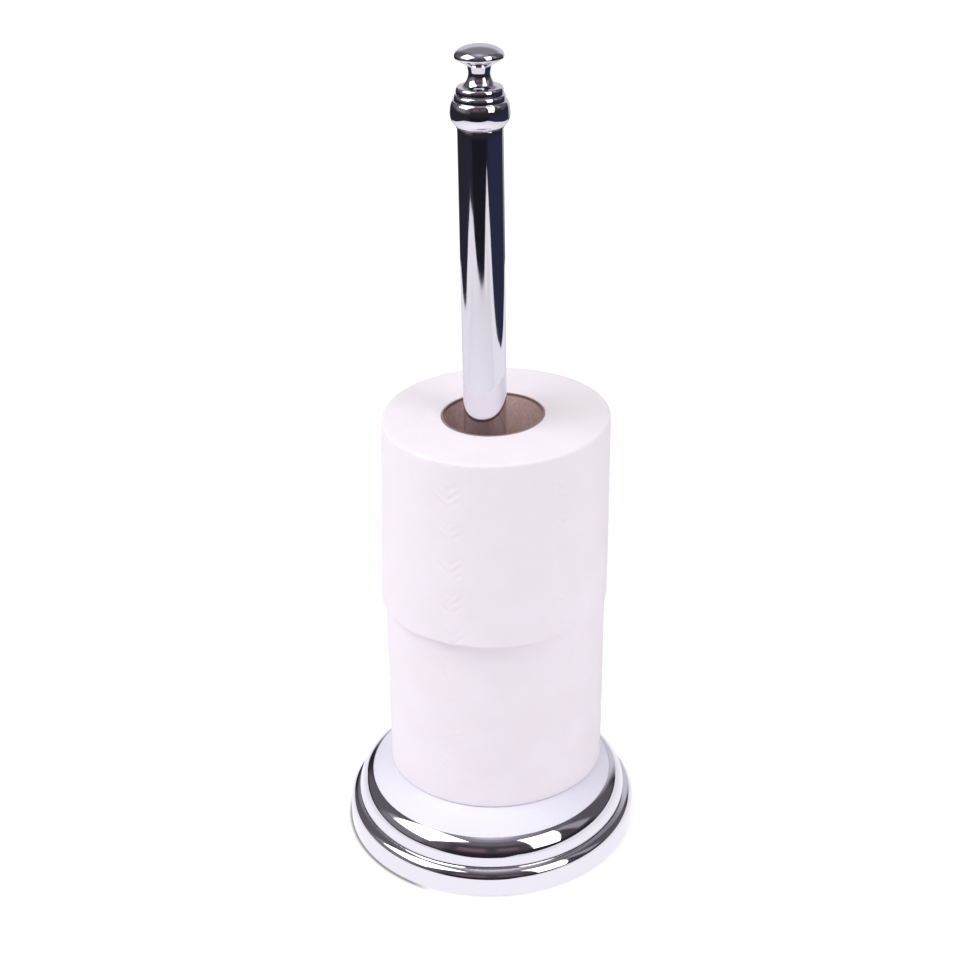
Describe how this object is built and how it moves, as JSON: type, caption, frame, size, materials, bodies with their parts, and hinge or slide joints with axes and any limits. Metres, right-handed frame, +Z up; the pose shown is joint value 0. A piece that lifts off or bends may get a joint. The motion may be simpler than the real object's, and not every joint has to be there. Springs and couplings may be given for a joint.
{
  "type": "freestanding toilet paper holder",
  "caption": "Weighted stepped round base with a white seat plate, an upright chromed post and a turned finial, holding stacked paper rolls that lift off over the top.",
  "frame": {"origin": "middle of the underside of the base pad, on the axis of the post", "axes": "+Z up along the post; the picture looks along +Y and down; +X is to the right in it"},
  "size_m": [0.145, 0.145, 0.394],
  "materials": {
    "base_chrome": "polished",
    "post_chrome": "polished",
    "finial_chrome": "polished",
    "white_gloss": "polished",
    "zinc_steel": "satin",
    "cast_iron": "matte",
    "pad_foam": "matte",
    "core_board": "matte",
    "tissue": "matte"
  },
  "bodies": {
    "stand": {"base_pad": "pad_foam", "base_weight": "cast_iron", "base_cover": "base_chrome", "seat_plate": "white_gloss", "clamp_washer": "zinc_steel", "lock_washer": "zinc_steel", "clamp_screw": "zinc_steel", "post_foot_plug": "zinc_steel", "post_tube": "post_chrome", "post_head_plug": "zinc_steel", "finial_stud": "zinc_steel", "finial_collar": "finial_chrome", "finial_knob": "finial_chrome"},
    "lower_roll": {"lower_roll_core": "core_board", "lower_roll_paper": "tissue"},
    "upper_roll": {"upper_roll_core": "core_board", "upper_roll_paper": "tissue"}
  },
  "joints": [
    {"name": "lower_roll_lift", "type": "slide", "parent": "stand", "child": "lower_roll", "axis": [0, 0, 1], "range_m": [0, 0.372]},
    {"name": "upper_roll_lift", "type": "slide", "parent": "lower_roll", "child": "upper_roll", "axis": [0, 0, 1], "range_m": [0, 0.277]}
  ]
}
